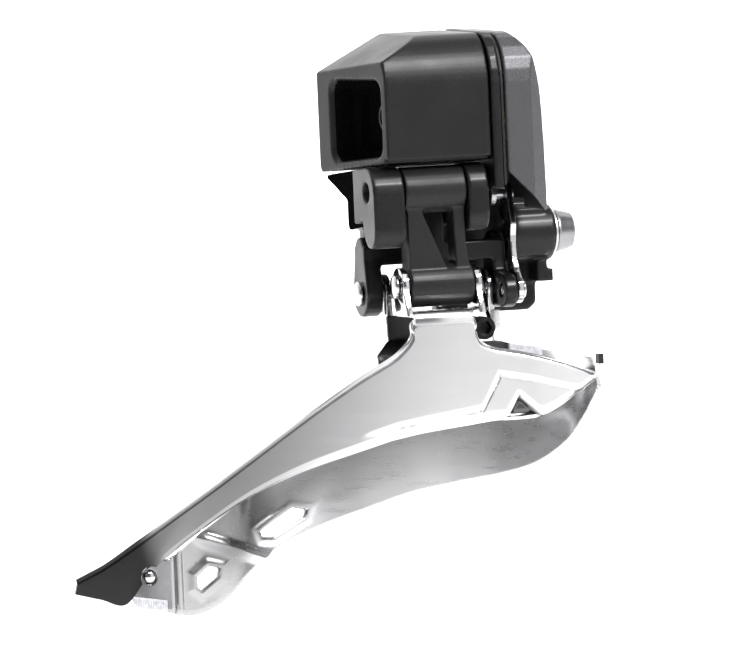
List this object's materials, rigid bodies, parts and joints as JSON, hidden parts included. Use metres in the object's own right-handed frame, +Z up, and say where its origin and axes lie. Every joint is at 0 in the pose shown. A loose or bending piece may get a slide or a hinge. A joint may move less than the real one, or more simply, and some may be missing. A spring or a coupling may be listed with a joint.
{
  "type": "front derailleur",
  "caption": "Motor-driven bicycle front derailleur: a parallelogram linkage swings a chain cage sideways to move the chain between chainrings.",
  "frame": {"origin": "centre of the clamp face, on the clamp bolt's axis", "axes": "+X forward along the clamp bolt, out of the clamp face; +Z up; -Y outboard, away from the bicycle's frame"},
  "size_m": [0.1031, 0.0295, 0.1003],
  "materials": {
    "black_paint": "satin, fine grain",
    "black_gloss": "smooth gloss",
    "grey_paint": "metallic satin",
    "chrome": "polished plate",
    "brushed_steel": "turned, satin",
    "steel": "machined",
    "black_steel": "black oxide",
    "resin": "moulded",
    "frosted": "frosted",
    "board": "laminate",
    "brass": "machined"
  },
  "bodies": {
    "base": {"motor_housing": "black_paint", "base_bracket": "black_gloss", "cable_socket": "resin", "socket_contact": "brass", "motor_can": "steel", "motor_end_cap": "resin", "circuit_board": "board", "gearbox_plate": "black_paint", "cover_gasket": "resin", "front_cover": "grey_paint", "idler_axle": "steel", "outer_pivot_pin": "chrome", "inner_pivot_pin": "chrome"},
    "outer_arm": {"outer_link": "black_paint"},
    "inner_arm": {"inner_link": "black_gloss", "cage_inner_pin": "chrome", "link_pin": "chrome", "saver_spring": "steel"},
    "cage": {"outer_plate": "chrome", "inner_plate": "chrome", "cage_outer_pin": "chrome", "nose_bridge": "chrome", "nose_bumper": "resin", "skid_plate": "frosted", "tail_bridge": "chrome", "tail_rivet": "chrome", "tail_guide": "frosted"},
    "crank": {"drive_crank": "steel", "crank_pin": "steel"},
    "drive_rod": {"drive_link": "chrome"},
    "idler": {"idler_gear": "brass"},
    "rotor": {"motor_pinion": "steel"},
    "bolt": {"clamp_bolt": "brushed_steel", "radius_washer": "steel"},
    "support": {"support_bolt": "black_steel"},
    "stroke": {"stroke_screw": "black_steel"}
  },
  "joints": [
    {"name": "link_swing", "type": "hinge", "parent": "base", "child": "outer_arm", "pos_m": [-0.027, -0.016, 0.0095], "axis": [-1, 0, 0], "range_deg": [-4, 28]},
    {"name": "inner_link_swing", "type": "hinge", "parent": "base", "child": "inner_arm", "pos_m": [-0.027, -0.005, 0.008], "axis": [-1, 0, 0], "range_deg": [-5, 29]},
    {"name": "cage_level", "type": "hinge", "parent": "outer_arm", "child": "cage", "pos_m": [-0.027, -0.016, -0.0075], "axis": [-1, 0, 0], "range_deg": [-29, 5]},
    {"name": "crank_swing", "type": "hinge", "parent": "base", "child": "crank", "pos_m": [-0.01, -0.0005, 0.025], "axis": [-1, 0, 0], "range_deg": [-5, 29]},
    {"name": "drive_link_swing", "type": "hinge", "parent": "crank", "child": "drive_rod", "pos_m": [-0.0099, -0.007, 0.0075], "axis": [-1, 0, 0], "range_deg": [-29, 5]},
    {"name": "idler_spin", "type": "hinge", "parent": "base", "child": "idler", "pos_m": [-0.009, -0.00621, 0.02234], "axis": [-1, 0, 0], "range_deg": [-80, 20]},
    {"name": "motor_spin", "type": "hinge", "parent": "base", "child": "rotor", "pos_m": [-0.009, -0.00902, 0.02836], "axis": [-1, 0, 0], "range_deg": [-40, 215]},
    {"name": "clamp_bolt_out", "type": "slide", "parent": "base", "child": "bolt", "axis": [1, 0, 0], "range_m": [0, 0.006]},
    {"name": "support_bolt_in", "type": "slide", "parent": "base", "child": "support", "axis": [0, 1, 0], "range_m": [0, 0.0025]},
    {"name": "stroke_screw_out", "type": "slide", "parent": "base", "child": "stroke", "axis": [0, -1, 0], "range_m": [0, 0.0015]}
  ],
  "couplings": [
    {"joint": "inner_link_swing", "follows": "link_swing", "ratio": 1},
    {"joint": "cage_level", "follows": "link_swing", "ratio": -1},
    {"joint": "crank_swing", "follows": "link_swing", "ratio": 1},
    {"joint": "drive_link_swing", "follows": "link_swing", "ratio": -1},
    {"joint": "idler_spin", "follows": "link_swing", "ratio": -2.6},
    {"joint": "motor_spin", "follows": "link_swing", "ratio": 7.28}
  ]
}
